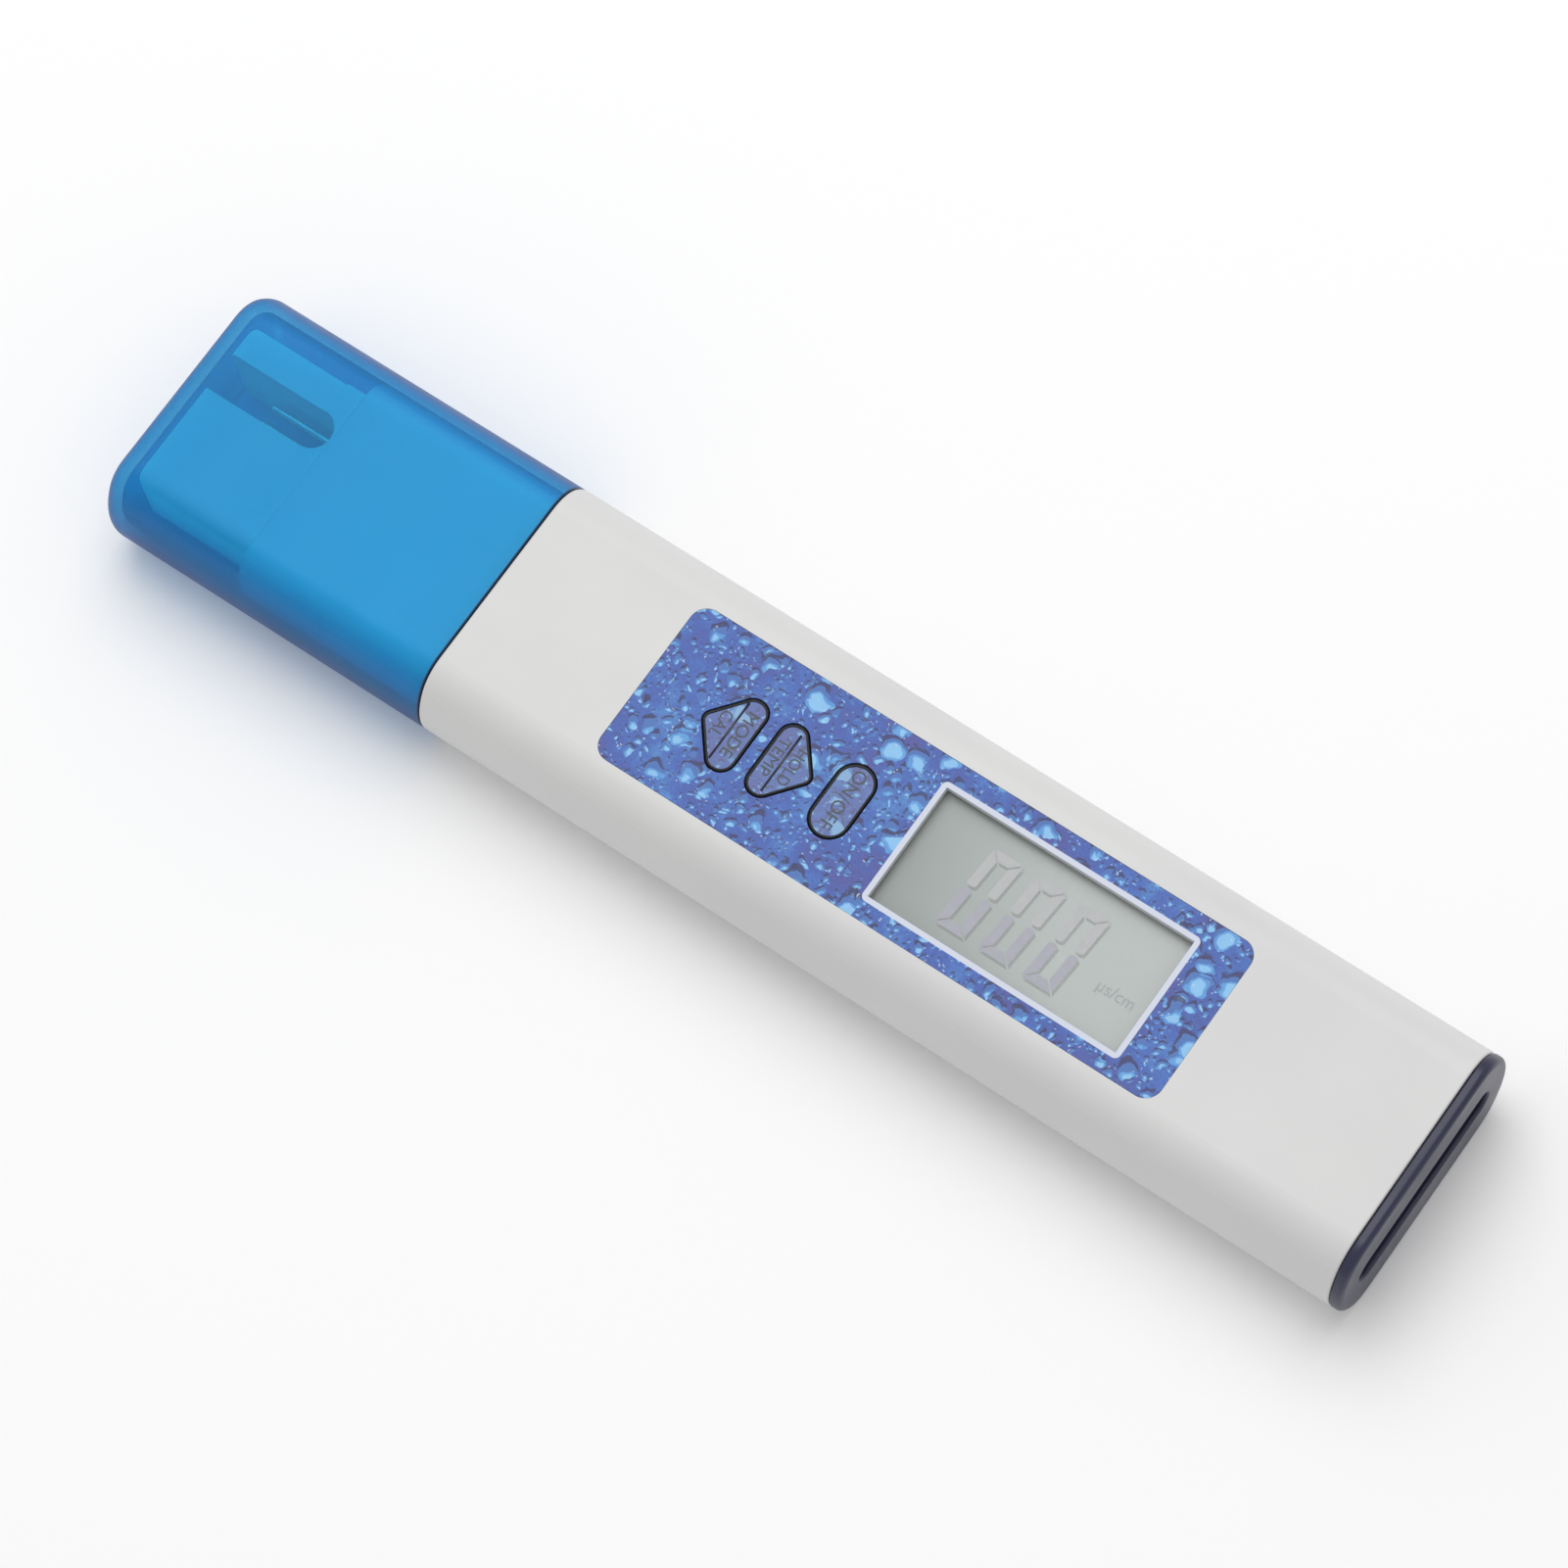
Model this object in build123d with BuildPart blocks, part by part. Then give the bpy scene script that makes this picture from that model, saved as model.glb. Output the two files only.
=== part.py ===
from build123d import *

import math
import os

# Pocket water conductivity tester, lying on its back with its display up.
#
# X runs along the pen, from the probe cap at -X to the battery cap at +X.  Y runs
# across it and Z is up.  The origin is on the underside, at the middle of the pen.
# All sizes are in millimetres.

os.makedirs("parts", exist_ok=True)

# --- The outside ---------------------------------------------------------------
length = 154.0  # whole pen with its cap on
width = 30.0
thickness = 14.0
corner_radius = 4.4  # tight arcs where the sides meet the top and the underside
side_radius = 9.0  # wide arc of each bulging side
wall = 1.5  # one-piece sleeve
cap_wall = 1.45
cap_seam = -35.4  # the probe cap meets the sleeve here
drawer_seam = 75.6  # the battery cap meets the sleeve here
seam_gap = 0.12
mouth_round = 0.25  # edges on both sides of a seam
cap_end_round = 2.2
drawer_end_round = 0.65
slide_gap = 0.1  # between a sliding piece and the wall around it
fit_gap = 0.05  # between fixed pieces that slip together

mid = thickness / 2
cap_tip = -length / 2
drawer_tip = length / 2
ceiling = thickness - wall  # underside of the sleeve's top wall
cut_start = ceiling - 0.1  # cuts through the top wall start just under it

# --- Label and display -----------------------------------------------------------
label_length = 68.0
label_width = 19.35
label_x = 17.5
label_round = 1.9
label_pocket = 0.34
label_thick = 0.3
label_gap = 0.04
label_floor = thickness - label_pocket
window_length = 29.75
window_width = 13.9
window_x = 30.7
window_y = -0.15
lens_thick = 0.45
lens_top = 13.05
lens_margin = 2.0  # lens beyond the window on each side
lens_gap = 0.15
display_thick = 1.95
display_margin = 1.7
display_top = 12.55
display_gap = 0.1
holder_start = 12.9
holder_end = 48.6
holder_half_width = 9.6
holder_round = 0.8
holder_wall = 1.0
zebra_y = 7.3
zebra_width = 1.6
zebra_length = 29.0
zebra_gap = 0.1

# --- Keys --------------------------------------------------------------------------
key_names = ("mode_cal", "hold_temp", "on_off")
key_y = -0.2
key_length = 9.0
key_gap = 0.12
key_rim = 0.3
key_edge_round = 0.16
key_flange = 0.45
key_flange_top = ceiling - 0.1
key_bottom = 11.3
key_film = 0.2
key_film_recess = 0.3
key_film_gap = 0.02
mode_flat_x = -3.3  # flat side of the key that points to -X
hold_flat_x = -1.9  # flat side of the key that points to +X
power_x = 7.9
power_width = 4.7
shoulder = 2.65  # from a pointed key's flat side to where it starts to taper
point_reach = 6.35  # from the flat side to the sharp point, before rounding
flat_corner_round = 1.75
shoulder_round = 1.6
point_round = 1.1
plunger_reach = 2.9  # from a pointed key's flat side to its plunger
plunger_radius = 1.2
plunger_bottom = 9.1
switch_size = 4.5
switch_top = 9.7
switch_well = 0.6  # room under a plunger

# --- Board and what is soldered to it ------------------------------------------------
board_start = -23.5
board_end = 54.0
board_half_width = 13.1
board_thick = 1.0
board_round = 1.0
board_top = mid + board_thick / 2
board_bottom = mid - board_thick / 2
rail_inner_y = 12.2
rail_outer_y = 14.0  # rails run into the sleeve's side walls
rail_thick = 1.0
rail_gap = 0.05
screw_x = -18.0
screw_y = 7.5
screw_radius = 1.0
screw_tip = 3.2
screw_head_radius = 1.9
screw_head_height = 1.4
screw_cross_length = 2.4
screw_cross_width = 0.5
screw_cross_depth = 0.7
chip_height = 1.5
chip_bevel = 0.25
controller_x = 24.0
controller_size = 10.0
amplifier_x = -4.0
amplifier_y = 3.0
amplifier_length = 5.0
amplifier_width = 4.0
component_groups_x = (5.0, 38.0)
component_pitch_x = 4.2
component_pitch_y = 4.5
component_length = 2.0
component_width = 1.25
component_height = 0.8
crystal_x = 14.0
crystal_y = -9.0
crystal_radius = 1.0
crystal_length = 6.0
crystal_round = 0.3

# --- Probe ------------------------------------------------------------------------------
housing_end = -24.5
tenon_end = -60.1
tenon_round = 0.4
nose_end = -74.9
nose_half_width = 10.4
nose_half_height = 5.0
nose_corner_round = 1.6
nose_end_round = 0.5
collar_length = 2.5
collar_step_y = 0.1
collar_step_z = 0.25
root_overlap = 0.5  # how far the nose and collar run into the tenon
slot_y = 4.0
slot_width = 4.6
slot_bottom_x = -60.2
probe_cavity_end = -57.0
probe_cavity_inset = 3.75
pin_radius = 0.5
pin_tip_bevel = 0.2
pin_spacing = 2.2
pin_start = -69.5
pin_end = -53.0
pin_bore_start = -62.1
pin_bore_length = 10.0
sensor_y = -5.0
sensor_radius = 1.5
sensor_tip_round = 1.0
sensor_start = -71.8
sensor_end = -64.0
sensor_bore_start = -72.0
sensor_bore_end = -56.2
shelf_start = -28.0
shelf_length = 14.0
shelf_width = 23.8
shelf_thick = 1.85
boss_radius = 2.3
boss_height = 3.85
boss_bore_depth = 3.45
boss_bore_radius = 1.03
wire_radius = 0.35
wire_pair_half = 0.6
lead_bend_x = -36.0
lead_rise_x = -30.0
lead_pad_x = -22.0
lead_clearance = 1.4
lead_bend_radius = 4.0
lead_pad_radius = 0.8

# --- Seals --------------------------------------------------------------------------------
probe_groove_x = -31.6
drawer_groove_x = 73.3
groove_width = 1.2
groove_depth = 0.85
seal_width = 1.0
seal_round = 0.3
plug_inset = wall + fit_gap  # from the skin to a plug that is fixed in the sleeve
collar_inset = wall + slide_gap  # from the skin to a plug that slides in the sleeve

# --- Battery drawer -------------------------------------------------------------------------
cell_radius = 5.8
cell_height = 5.4
cell_x = 64.6
cell_y = 5.95
cell_bottom = 3.6
can_bevel = 0.3
crimp_height = 0.4
crimp_width = 0.5
lid_slope = 0.2
pocket_radius = 5.95
pocket_slot_length = 7.0
pocket_slot_width = 4.0
tray_start = 57.8
tray_end = 71.6
tray_top = 8.4
tongue_width = 16.0
tongue_height = 3.8
tongue_drop = 0.6
tongue_length = 1.9
tongue_round = 0.5
drawer_collar_wall = 1.9
drawer_collar_depth = 2.0
flange_inner_round = 0.2
strap_thick = 0.2
strap_pad_radius = 4.5
strap_width = 4.0
strap_bottom = cell_bottom - strap_thick
leaf_thick = 0.2
leaf_width = 3.0
leaf_low = cell_bottom + cell_height + fit_gap + leaf_thick / 2
leaf_root_x = 50.0
leaf_bend_x = 53.2
leaf_knee_x = 57.0
leaf_touch_x = 60.8
leaf_lift_x = 62.2
leaf_tip_x = 64.5
leaf_knee_rise = 1.2
leaf_tip_rise = 0.9
grip_length = 23.6
grip_height = 4.4
grip_depth = 1.6
grip_lip = 0.35


def save(piece, name):
    """Give a finished piece its name and write it to its own file."""
    piece.part.label = name
    export_step(piece.part, f"parts/{name}.step")


def across(x):
    """Plane across the pen at station x, its centre at mid height, facing +X."""
    return Plane(origin=(x, 0, mid), x_dir=(0, 1, 0), z_dir=(1, 0, 0))


def upright(y):
    """Plane along the pen at a distance y from its middle, with Z up."""
    return Plane(origin=(0, y, 0), x_dir=(1, 0, 0), z_dir=(0, -1, 0))


def pen_section(x, inset=0.0):
    """Flat top and bottom with bulging sides, drawn a constant inset from the skin.

    Each side is one wide arc between two tighter ones, all tangent to each other.
    """
    rise = thickness / 2 - inset
    corner_z = thickness / 2 - corner_radius
    corner_y = math.sqrt((side_radius - corner_radius) ** 2 - corner_z**2)
    flat = width / 2 - side_radius + corner_y
    turn = math.degrees(math.atan2(corner_z, corner_y))
    with BuildSketch(across(x)) as section:
        with BuildLine():
            Line((0, rise), (flat, rise))
            CenterArc((flat, corner_z), corner_radius - inset, turn, 90 - turn)
            CenterArc((width / 2 - side_radius, 0), side_radius - inset, -turn, 2 * turn)
            CenterArc((flat, -corner_z), corner_radius - inset, -90, 90 - turn)
            Line((flat, -rise), (0, -rise))
            mirror(about=Plane.YZ)
        make_face()
    return section.sketch


def pointed_key(flat_x, direction, grow):
    """Five-sided key outline with rounded corners, its point along direction.

    Each rounded corner leaves two vertices where it had one, so the next corners
    come two places later along the key.
    """
    half = key_length / 2
    corners = [(0, -half), (shoulder, -half), (point_reach, 0), (shoulder, half), (0, half)]
    with BuildSketch() as outline:
        with BuildLine():
            Polyline([(flat_x + direction * x, key_y + y) for x, y in corners], close=True)
        make_face()
        for first, last, corner_round in (
            (0, 2, flat_corner_round),
            (4, 6, shoulder_round),
            (8, 9, point_round),
        ):
            along = outline.vertices().sort_by(Axis.X, reverse=direction < 0)
            fillet(along[first:last], radius=corner_round)
        if grow:
            offset(amount=grow)
    return outline.sketch


def power_key(grow):
    """Straight-sided key outline with full round ends."""
    with BuildSketch() as outline:
        with Locations((power_x, key_y)):
            SlotOverall(key_length + 2 * grow, power_width + 2 * grow, rotation=90)
    return outline.sketch


def key_outline(name, grow=0.0):
    """Outline of one key, grown outwards, or inwards by a negative amount."""
    if name == "mode_cal":
        return pointed_key(mode_flat_x, -1, grow)
    if name == "hold_temp":
        return pointed_key(hold_flat_x, 1, grow)
    return power_key(grow)


def key_centre(name):
    """Where a key's plunger and switch stand."""
    if name == "mode_cal":
        return (mode_flat_x - plunger_reach, key_y)
    if name == "hold_temp":
        return (hold_flat_x + plunger_reach, key_y)
    return (power_x, key_y)


# --- Sleeve -------------------------------------------------------------------------------
with BuildPart() as body_shell:
    extrude(pen_section(cap_seam), amount=drawer_seam - cap_seam)
    ends = body_shell.edges().group_by(Axis.X)
    fillet(ends[0] + ends[-1], radius=mouth_round)
    extrude(pen_section(cap_seam, wall), amount=drawer_seam - cap_seam, mode=Mode.SUBTRACT)
    # Four rails hold the board's long edges.
    with BuildSketch(across(board_start)):
        rail_pitch_y = rail_inner_y + rail_outer_y
        rail_pitch_z = board_thick + 2 * rail_gap + rail_thick
        with GridLocations(rail_pitch_y, rail_pitch_z, 2, 2):
            Rectangle(rail_outer_y - rail_inner_y, rail_thick)
    extrude(amount=board_end - board_start)
    with BuildSketch(Plane.XY.offset(label_floor)):
        with Locations((label_x, 0)):
            RectangleRounded(
                label_length + 2 * label_gap,
                label_width + 2 * label_gap,
                label_round + label_gap,
            )
    extrude(amount=label_pocket, mode=Mode.SUBTRACT)
    with BuildSketch(Plane.XY.offset(cut_start)):
        with Locations((window_x, window_y)):
            Rectangle(window_length, window_width)
    extrude(amount=wall, mode=Mode.SUBTRACT)
    # The wall is thinned from the inside around the window to seat the lens.
    with BuildSketch(Plane.XY.offset(cut_start)):
        with Locations((window_x, 0)):
            Rectangle(
                window_length + 2 * (lens_margin + lens_gap),
                window_width + 2 * (lens_margin + lens_gap),
            )
    extrude(amount=lens_top + fit_gap - cut_start, mode=Mode.SUBTRACT)
    for key_name in key_names:
        with BuildSketch(Plane.XY.offset(cut_start)):
            add(key_outline(key_name))
        extrude(amount=wall, mode=Mode.SUBTRACT)
save(body_shell, "body_shell")

# --- Printed label --------------------------------------------------------------------------
with BuildPart() as label_overlay:
    with BuildSketch(Plane.XY.offset(label_floor)):
        with Locations((label_x, 0)):
            RectangleRounded(label_length, label_width, label_round)
        with Locations((window_x, window_y)):
            Rectangle(window_length, window_width, mode=Mode.SUBTRACT)
        for key_name in key_names:
            add(key_outline(key_name), mode=Mode.SUBTRACT)
    extrude(amount=label_thick)
save(label_overlay, "label_overlay")

# --- Display stack --------------------------------------------------------------------------
with BuildPart() as window_lens:
    with BuildSketch(Plane.XY.offset(lens_top - lens_thick)):
        with Locations((window_x, 0)):
            Rectangle(window_length + 2 * lens_margin, window_width + 2 * lens_margin)
    extrude(amount=lens_thick)
save(window_lens, "window_lens")

display_bottom = display_top - display_thick
display_length = window_length + 2 * display_margin
display_width = window_width + 2 * display_margin
with BuildPart() as display_panel:
    with BuildSketch(Plane.XY.offset(display_bottom)):
        with Locations((window_x, 0)):
            Rectangle(display_length, display_width)
    extrude(amount=display_thick)
save(display_panel, "display_panel")

with BuildPart() as display_holder:
    with BuildSketch(Plane.XY.offset(board_top)):
        with Locations(((holder_start + holder_end) / 2, 0)):
            RectangleRounded(holder_end - holder_start, 2 * holder_half_width, holder_round)
    extrude(amount=ceiling - fit_gap - board_top)
    # Seat for the glass, open at the top.
    with BuildSketch(Plane.XY.offset(display_bottom)):
        with Locations((window_x, 0)):
            Rectangle(display_length + 2 * display_gap, display_width + 2 * display_gap)
    extrude(amount=thickness - display_bottom, mode=Mode.SUBTRACT)
    # Through slots for the two contact strips.
    with BuildSketch(Plane.XY.offset(board_top)):
        with Locations((window_x, zebra_y), (window_x, -zebra_y)):
            Rectangle(zebra_length + 2 * zebra_gap, zebra_width + 2 * zebra_gap)
    extrude(amount=thickness, mode=Mode.SUBTRACT)
    # Hollow underside between the strips.
    with BuildSketch(Plane.XY.offset(board_top)):
        with Locations((window_x, 0)):
            Rectangle(zebra_length, 2 * (zebra_y - zebra_width / 2 - holder_wall))
    extrude(amount=display_bottom - board_top - holder_wall, mode=Mode.SUBTRACT)
save(display_holder, "display_holder")

with BuildPart() as zebra_strips:
    with BuildSketch(Plane.XY.offset(board_top)):
        with Locations((window_x, zebra_y), (window_x, -zebra_y)):
            Rectangle(zebra_length, zebra_width)
    extrude(amount=display_bottom - board_top)
save(zebra_strips, "zebra_strips")

# --- Board ------------------------------------------------------------------------------------
screw_places = [(screw_x, screw_y), (screw_x, -screw_y)]
with BuildPart() as main_board:
    with BuildSketch(Plane.XY.offset(board_bottom)):
        with Locations(((board_start + board_end) / 2, 0)):
            RectangleRounded(board_end - board_start, 2 * board_half_width, board_round)
        with Locations(screw_places):
            Circle(screw_radius + slide_gap, mode=Mode.SUBTRACT)
    extrude(amount=board_thick)
save(main_board, "main_board")

with BuildPart() as controller_chip:
    with BuildSketch(Plane.XY.offset(board_bottom)):
        with Locations((controller_x, 0)):
            Rectangle(controller_size, controller_size)
    extrude(amount=-chip_height)
    chamfer(controller_chip.faces().sort_by(Axis.Z)[0].edges(), length=chip_bevel)
save(controller_chip, "controller_chip")

with BuildPart() as amplifier_chip:
    with BuildSketch(Plane.XY.offset(board_bottom)):
        with Locations((amplifier_x, amplifier_y)):
            Rectangle(amplifier_length, amplifier_width)
    extrude(amount=-chip_height)
    chamfer(amplifier_chip.faces().sort_by(Axis.Z)[0].edges(), length=chip_bevel)
save(amplifier_chip, "amplifier_chip")

with BuildPart() as board_components:
    with BuildSketch(Plane.XY.offset(board_bottom)):
        for group_x in component_groups_x:
            with Locations((group_x, 0)):
                with GridLocations(component_pitch_x, component_pitch_y, 3, 4):
                    Rectangle(component_length, component_width)
    extrude(amount=-component_height)
save(board_components, "board_components")

with BuildPart() as crystal:
    crystal_z = board_bottom - crystal_radius
    with BuildSketch(Plane(origin=(crystal_x, crystal_y, crystal_z), x_dir=(0, 1, 0), z_dir=(1, 0, 0))):
        Circle(crystal_radius)
    extrude(amount=crystal_length)
    fillet(crystal.edges().sort_by(Axis.X)[-1], radius=crystal_round)
save(crystal, "crystal")

with BuildPart() as board_screws:
    with BuildSketch(Plane.XY.offset(board_top)):
        with Locations(screw_places):
            Circle(screw_head_radius)
    extrude(amount=screw_head_height)
    with BuildSketch(Plane.XY.offset(screw_tip)):
        with Locations(screw_places):
            Circle(screw_radius)
    extrude(amount=board_top - screw_tip)
    with BuildSketch(Plane.XY.offset(board_top + screw_head_height)):
        with Locations(screw_places):
            Rectangle(screw_cross_length, screw_cross_width)
            Rectangle(screw_cross_width, screw_cross_length)
    extrude(amount=-screw_cross_depth, mode=Mode.SUBTRACT)
save(board_screws, "board_screws")

with BuildPart() as switch_bases:
    with BuildSketch(Plane.XY.offset(board_top)):
        with Locations([key_centre(key_name) for key_name in key_names]):
            Rectangle(switch_size, switch_size)
    extrude(amount=switch_top - board_top)
    with BuildSketch(Plane.XY.offset(plunger_bottom - switch_well)):
        with Locations([key_centre(key_name) for key_name in key_names]):
            Circle(plunger_radius + slide_gap)
    extrude(amount=switch_top, mode=Mode.SUBTRACT)
save(switch_bases, "switch_bases")

# --- Keys: a dark cap, a printed film let into its top, and the switch plunger ---------------
for key_name in key_names:
    with BuildPart() as key_cap:
        with BuildSketch(Plane.XY.offset(key_bottom)):
            add(key_outline(key_name, -key_gap))
        extrude(amount=thickness - key_bottom)
        fillet(key_cap.faces().sort_by(Axis.Z)[-1].edges(), radius=key_edge_round)
        with BuildSketch(Plane.XY.offset(key_bottom)):
            add(key_outline(key_name, key_flange))
        extrude(amount=key_flange_top - key_bottom)
        with BuildSketch(Plane.XY.offset(thickness)):
            add(key_outline(key_name, -key_gap - key_rim))
        extrude(amount=-key_film_recess, mode=Mode.SUBTRACT)
    save(key_cap, f"{key_name}_key")

    with BuildPart() as film:
        with BuildSketch(Plane.XY.offset(thickness - key_film_recess)):
            add(key_outline(key_name, -key_gap - key_rim - key_film_gap))
        extrude(amount=key_film)
    save(film, f"{key_name}_film")

    with BuildPart() as plunger:
        with BuildSketch(Plane.XY.offset(plunger_bottom)):
            with Locations(key_centre(key_name)):
                Circle(plunger_radius)
        extrude(amount=key_bottom - plunger_bottom)
    save(plunger, f"{key_name}_plunger")

# --- Probe housing ------------------------------------------------------------------------------
shelf_top = board_bottom - fit_gap
pin_places = [(slot_y - pin_spacing / 2, 0), (slot_y + pin_spacing / 2, 0)]
with BuildPart() as probe_housing:
    extrude(pen_section(tenon_end, plug_inset), amount=housing_end - tenon_end)
    fillet(probe_housing.edges().group_by(Axis.X)[0], radius=tenon_round)
    extrude(
        pen_section(probe_cavity_end, probe_cavity_inset),
        amount=housing_end - probe_cavity_end,
        mode=Mode.SUBTRACT,
    )
    # Nose, narrower than the tenon, with a low collar at its root.
    with BuildSketch(across(nose_end)):
        RectangleRounded(2 * nose_half_width, 2 * nose_half_height, nose_corner_round)
    extrude(amount=tenon_end - nose_end + root_overlap)
    fillet(probe_housing.edges().group_by(Axis.X)[0], radius=nose_end_round)
    with BuildSketch(across(tenon_end - collar_length)):
        RectangleRounded(
            2 * (nose_half_width + collar_step_y),
            2 * (nose_half_height + collar_step_z),
            nose_corner_round,
        )
    extrude(amount=collar_length + root_overlap)
    # Sample slot, open at the nose end and right through from top to bottom.
    slot_centre_x = slot_bottom_x - slot_width / 2
    with BuildSketch():
        with Locations((slot_centre_x, slot_y)):
            Circle(slot_width / 2)
            Rectangle(slot_centre_x - cap_tip, slot_width, align=(Align.MAX, Align.CENTER))
    extrude(amount=thickness, mode=Mode.SUBTRACT)
    # Bores for the two electrode pins and the temperature sensor.
    with BuildSketch(across(pin_bore_start)):
        with Locations(pin_places):
            Circle(pin_radius)
    extrude(amount=pin_bore_length, mode=Mode.SUBTRACT)
    with BuildSketch(across(sensor_bore_start)):
        with Locations((sensor_y, 0)):
            Circle(sensor_radius + fit_gap)
    extrude(amount=sensor_bore_end - sensor_bore_start, mode=Mode.SUBTRACT)
    # Groove for the seal ring.
    extrude(pen_section(probe_groove_x), amount=groove_width, mode=Mode.SUBTRACT)
    extrude(pen_section(probe_groove_x, plug_inset + groove_depth), amount=groove_width)
    extrude(
        pen_section(probe_groove_x, probe_cavity_inset),
        amount=groove_width,
        mode=Mode.SUBTRACT,
    )
    # Shelf under the board, with two screw bosses.
    with BuildSketch(Plane.XY.offset(shelf_top)):
        with Locations((shelf_start, 0)):
            Rectangle(shelf_length, shelf_width, align=(Align.MIN, Align.CENTER))
    extrude(amount=-shelf_thick)
    with BuildSketch(Plane.XY.offset(shelf_top)):
        with Locations(screw_places):
            Circle(boss_radius)
    extrude(amount=-boss_height)
    with BuildSketch(Plane.XY.offset(shelf_top)):
        with Locations(screw_places):
            Circle(boss_bore_radius)
    extrude(amount=-boss_bore_depth, mode=Mode.SUBTRACT)
save(probe_housing, "probe_housing")

with BuildPart() as electrode_pins:
    with BuildSketch(across(pin_start)):
        with Locations(pin_places):
            Circle(pin_radius)
    extrude(amount=pin_end - pin_start)
    chamfer(electrode_pins.edges().group_by(Axis.X)[0], length=pin_tip_bevel)
save(electrode_pins, "electrode_pins")

with BuildPart() as temperature_sensor:
    with BuildSketch(across(sensor_start)):
        with Locations((sensor_y, 0)):
            Circle(sensor_radius)
    extrude(amount=sensor_end - sensor_start)
    fillet(temperature_sensor.edges().group_by(Axis.X)[0], radius=sensor_tip_round)
save(temperature_sensor, "temperature_sensor")

# Each lead runs straight back, steps up over the board's edge and drops to its pad.
lead_starts = [
    (pin_end, slot_y - pin_spacing / 2),
    (pin_end, slot_y + pin_spacing / 2),
    (sensor_end, sensor_y - wire_pair_half),
    (sensor_end, sensor_y + wire_pair_half),
]
lead_top = board_top + lead_clearance
with BuildPart() as probe_leads:
    for start_x, y in lead_starts:
        with BuildLine(upright(y)) as route:
            FilletPolyline(
                (start_x, mid),
                (lead_bend_x, mid),
                (lead_rise_x, lead_top),
                (lead_pad_x, lead_top),
                (lead_pad_x, board_top),
                radius=[lead_bend_radius, lead_bend_radius, lead_pad_radius],
            )
        with BuildSketch(across(start_x)):
            with Locations((y, 0)):
                Circle(wire_radius)
        sweep(path=route.wires()[0])
save(probe_leads, "probe_leads")

# --- Probe cap ----------------------------------------------------------------------------------
cap_mouth = cap_seam - seam_gap
with BuildPart() as cap_hollow:
    extrude(pen_section(cap_tip + cap_wall, cap_wall), amount=cap_mouth - cap_tip)
    fillet(cap_hollow.edges().group_by(Axis.X)[0], radius=cap_end_round - cap_wall)

with BuildPart() as probe_cap:
    extrude(pen_section(cap_tip), amount=cap_mouth - cap_tip)
    fillet(probe_cap.edges().group_by(Axis.X)[0], radius=cap_end_round)
    fillet(probe_cap.edges().group_by(Axis.X)[-1], radius=mouth_round)
    add(cap_hollow.part, mode=Mode.SUBTRACT)
save(probe_cap, "probe_cap")

# --- Battery drawer ------------------------------------------------------------------------------
flange_start = drawer_seam + seam_gap
with BuildPart() as end_cap:
    extrude(pen_section(flange_start), amount=drawer_tip - flange_start)
    fillet(end_cap.edges().group_by(Axis.X)[-1], radius=drawer_end_round)
    fillet(end_cap.edges().group_by(Axis.X)[0], radius=flange_inner_round)
    extrude(pen_section(tray_end, collar_inset), amount=flange_start - tray_end)
    extrude(pen_section(drawer_groove_x), amount=groove_width, mode=Mode.SUBTRACT)
    extrude(pen_section(drawer_groove_x, collar_inset + groove_depth), amount=groove_width)
    extrude(
        pen_section(tray_end, collar_inset + drawer_collar_wall),
        amount=drawer_collar_depth,
        mode=Mode.SUBTRACT,
    )
    # Finger-nail grip let into the end face.
    with BuildSketch(across(drawer_tip)):
        SlotOverall(grip_length - 2 * grip_lip, grip_height - 2 * grip_lip)
    extrude(amount=-grip_depth, mode=Mode.SUBTRACT)
    rim = end_cap.faces().filter_by(Plane.YZ).sort_by(Axis.X)[-1].inner_wires()[0]
    fillet(rim.edges(), radius=grip_lip)
save(end_cap, "end_cap")

# --- Seal rings, each just clear of the wall around it and of its groove's floor -------------------
seals = (
    ("probe_seal_ring", probe_groove_x, plug_inset),
    ("end_cap_seal", drawer_groove_x, collar_inset),
)
for seal_name, groove_x, plug in seals:
    with BuildPart() as seal:
        seal_x = groove_x + (groove_width - seal_width) / 2
        extrude(pen_section(seal_x, wall + fit_gap), amount=seal_width)
        for edge_group in (0, -1):
            fillet(seal.edges().group_by(Axis.X)[edge_group], radius=seal_round)
        extrude(
            pen_section(groove_x, plug + groove_depth - fit_gap),
            amount=groove_width,
            mode=Mode.SUBTRACT,
        )
    save(seal, seal_name)

# --- Battery tray, cells and contacts ---------------------------------------------------------------
cell_places = [(cell_x, cell_y), (cell_x, -cell_y)]
with BuildPart() as battery_tray:
    extrude(pen_section(tray_start, collar_inset + fit_gap), amount=tray_end - tray_start)
    with BuildSketch(Plane.XY.offset(tray_top)):
        with Locations((cell_x, 0)):
            Rectangle(width, width)
    extrude(amount=thickness, mode=Mode.SUBTRACT)
    # Two round pockets joined by a slot in the middle.
    with BuildSketch(Plane.XY.offset(strap_bottom)):
        with Locations(cell_places):
            Circle(pocket_radius)
        with Locations((cell_x, 0)):
            Rectangle(pocket_slot_length, pocket_slot_width)
    extrude(amount=thickness, mode=Mode.SUBTRACT)
    # Tongue that is glued into the end cap's collar.
    with BuildSketch(across(tray_end)):
        with Locations((0, -tongue_drop)):
            RectangleRounded(tongue_width, tongue_height, tongue_round)
    extrude(amount=tongue_length)
save(battery_tray, "battery_tray")

with BuildPart() as cell_strap:
    with BuildSketch(Plane.XY.offset(strap_bottom)):
        with Locations(cell_places):
            Circle(strap_pad_radius)
        with Locations((cell_x, 0)):
            Rectangle(strap_width, 2 * cell_y)
    extrude(amount=strap_thick)
save(cell_strap, "cell_strap")


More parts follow.
